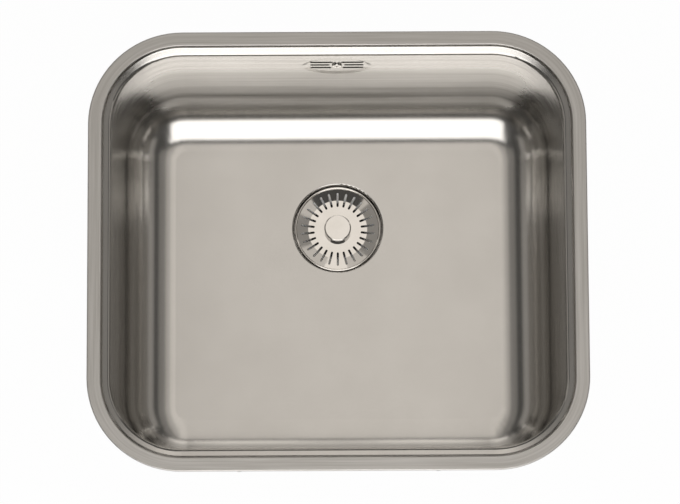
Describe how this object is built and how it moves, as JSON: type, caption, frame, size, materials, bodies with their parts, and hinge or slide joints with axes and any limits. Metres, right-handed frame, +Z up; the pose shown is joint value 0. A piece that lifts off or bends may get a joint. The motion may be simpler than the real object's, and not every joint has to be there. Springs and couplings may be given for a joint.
{
  "type": "sit-on sink",
  "caption": "Single-bowl stainless steel sit-on sink with stepped rim, basket strainer waste, slotted overflow and swing-claw worktop clamps.",
  "frame": {"origin": "middle of the rim on the worktop, at the underside of the rim seal", "axes": "+X to the right, +Y to the back where the overflow is, +Z up out of the bowl"},
  "size_m": [0.44, 0.4074, 0.2785],
  "materials": {
    "bowl_steel": "satin",
    "seal_foam": "matte",
    "bitumen": "matte",
    "gasket_rubber": "matte",
    "cup_plastic": "moulded",
    "waste_plastic": "moulded",
    "pipe_plastic": "moulded",
    "nut_plastic": "moulded",
    "insert_brass": "turned",
    "screw_steel": "bright",
    "basket_steel": "polished",
    "knob_steel": "polished",
    "stem_plastic": "moulded",
    "spring_steel": "bright",
    "zinc_steel": "zinc plated",
    "zinc_screw": "zinc plated"
  },
  "bodies": {
    "sink": {"sink_bowl": "bowl_steel", "rim_seal": "seal_foam", "sound_pad": "bitumen", "cup_gasket": "gasket_rubber", "body_gasket": "gasket_rubber", "waste_cup": "cup_plastic", "waste_body": "waste_plastic", "screw_insert": "insert_brass", "waste_screw": "screw_steel", "overflow_screw": "screw_steel", "overflow_gasket": "gasket_rubber", "overflow_collector": "waste_plastic", "overflow_pipe": "pipe_plastic", "overflow_nut_top": "nut_plastic", "overflow_nut_bottom": "nut_plastic", "overflow_seal_top": "gasket_rubber", "overflow_seal_bottom": "gasket_rubber", "clamp_brackets": "zinc_steel"},
    "detent": {"detent_clip": "spring_steel"},
    "basket": {"strainer_basket": "basket_steel", "strainer_knob": "knob_steel", "strainer_stem": "stem_plastic", "strainer_plug": "gasket_rubber"},
    "washer_front_left": {"clamp_washer_front_left": "zinc_steel"},
    "claw_front_left": {"clamp_claw_front_left": "zinc_steel"},
    "screw_front_left": {"clamp_screw_front_left": "zinc_screw"},
    "washer_front_right": {"clamp_washer_front_right": "zinc_steel"},
    "claw_front_right": {"clamp_claw_front_right": "zinc_steel"},
    "screw_front_right": {"clamp_screw_front_right": "zinc_screw"},
    "washer_right": {"clamp_washer_right": "zinc_steel"},
    "claw_right": {"clamp_claw_right": "zinc_steel"},
    "screw_right": {"clamp_screw_right": "zinc_screw"},
    "washer_back_right": {"clamp_washer_back_right": "zinc_steel"},
    "claw_back_right": {"clamp_claw_back_right": "zinc_steel"},
    "screw_back_right": {"clamp_screw_back_right": "zinc_screw"},
    "washer_back_left": {"clamp_washer_back_left": "zinc_steel"},
    "claw_back_left": {"clamp_claw_back_left": "zinc_steel"},
    "screw_back_left": {"clamp_screw_back_left": "zinc_screw"},
    "washer_left": {"clamp_washer_left": "zinc_steel"},
    "claw_left": {"clamp_claw_left": "zinc_steel"},
    "screw_left": {"clamp_screw_left": "zinc_screw"}
  },
  "joints": [
    {"name": "basket_lift", "type": "slide", "parent": "sink", "child": "detent", "axis": [0, 0, 1], "range_m": [0, 0.22]},
    {"name": "basket_turn", "type": "hinge", "parent": "detent", "child": "basket", "pos_m": [0, 0.052, -0.16854], "axis": [0, 0, 1], "continuous": true},
    {"name": "clamp_lift_front_left", "type": "slide", "parent": "sink", "child": "washer_front_left", "axis": [0, 0, 1], "range_m": [0, 0.018]},
    {"name": "claw_swing_front_left", "type": "hinge", "parent": "washer_front_left", "child": "claw_front_left", "pos_m": [-0.088, -0.182, -0.068], "axis": [0, 0, -1], "range_deg": [0, 90]},
    {"name": "clamp_screw_turn_front_left", "type": "hinge", "parent": "washer_front_left", "child": "screw_front_left", "pos_m": [-0.088, -0.182, -0.068], "axis": [0, 0, 1], "range_deg": [0, 8100]},
    {"name": "clamp_lift_front_right", "type": "slide", "parent": "sink", "child": "washer_front_right", "axis": [0, 0, 1], "range_m": [0, 0.018]},
    {"name": "claw_swing_front_right", "type": "hinge", "parent": "washer_front_right", "child": "claw_front_right", "pos_m": [0.088, -0.182, -0.068], "axis": [0, 0, -1], "range_deg": [0, 90]},
    {"name": "clamp_screw_turn_front_right", "type": "hinge", "parent": "washer_front_right", "child": "screw_front_right", "pos_m": [0.088, -0.182, -0.068], "axis": [0, 0, 1], "range_deg": [0, 8100]},
    {"name": "clamp_lift_right", "type": "slide", "parent": "sink", "child": "washer_right", "axis": [0, 0, 1], "range_m": [0, 0.018]},
    {"name": "claw_swing_right", "type": "hinge", "parent": "washer_right", "child": "claw_right", "pos_m": [0.2055, 0, -0.068], "axis": [0, 0, -1], "range_deg": [0, 90]},
    {"name": "clamp_screw_turn_right", "type": "hinge", "parent": "washer_right", "child": "screw_right", "pos_m": [0.2055, 0, -0.068], "axis": [0, 0, 1], "range_deg": [0, 8100]},
    {"name": "clamp_lift_back_right", "type": "slide", "parent": "sink", "child": "washer_back_right", "axis": [0, 0, 1], "range_m": [0, 0.018]},
    {"name": "claw_swing_back_right", "type": "hinge", "parent": "washer_back_right", "child": "claw_back_right", "pos_m": [0.088, 0.182, -0.068], "axis": [0, 0, -1], "range_deg": [0, 90]},
    {"name": "clamp_screw_turn_back_right", "type": "hinge", "parent": "washer_back_right", "child": "screw_back_right", "pos_m": [0.088, 0.182, -0.068], "axis": [0, 0, 1], "range_deg": [0, 8100]},
    {"name": "clamp_lift_back_left", "type": "slide", "parent": "sink", "child": "washer_back_left", "axis": [0, 0, 1], "range_m": [0, 0.018]},
    {"name": "claw_swing_back_left", "type": "hinge", "parent": "washer_back_left", "child": "claw_back_left", "pos_m": [-0.088, 0.182, -0.068], "axis": [0, 0, -1], "range_deg": [0, 90]},
    {"name": "clamp_screw_turn_back_left", "type": "hinge", "parent": "washer_back_left", "child": "screw_back_left", "pos_m": [-0.088, 0.182, -0.068], "axis": [0, 0, 1], "range_deg": [0, 8100]},
    {"name": "clamp_lift_left", "type": "slide", "parent": "sink", "child": "washer_left", "axis": [0, 0, 1], "range_m": [0, 0.018]},
    {"name": "claw_swing_left", "type": "hinge", "parent": "washer_left", "child": "claw_left", "pos_m": [-0.2055, 0, -0.068], "axis": [0, 0, -1], "range_deg": [0, 90]},
    {"name": "clamp_screw_turn_left", "type": "hinge", "parent": "washer_left", "child": "screw_left", "pos_m": [-0.2055, 0, -0.068], "axis": [0, 0, 1], "range_deg": [0, 8100]}
  ],
  "couplings": [
    {"joint": "clamp_screw_turn_front_left", "follows": "clamp_lift_front_left", "rad_per_m": 7854},
    {"joint": "clamp_screw_turn_front_right", "follows": "clamp_lift_front_right", "rad_per_m": 7854},
    {"joint": "clamp_screw_turn_right", "follows": "clamp_lift_right", "rad_per_m": 7854},
    {"joint": "clamp_screw_turn_back_right", "follows": "clamp_lift_back_right", "rad_per_m": 7854},
    {"joint": "clamp_screw_turn_back_left", "follows": "clamp_lift_back_left", "rad_per_m": 7854},
    {"joint": "clamp_screw_turn_left", "follows": "clamp_lift_left", "rad_per_m": 7854}
  ]
}
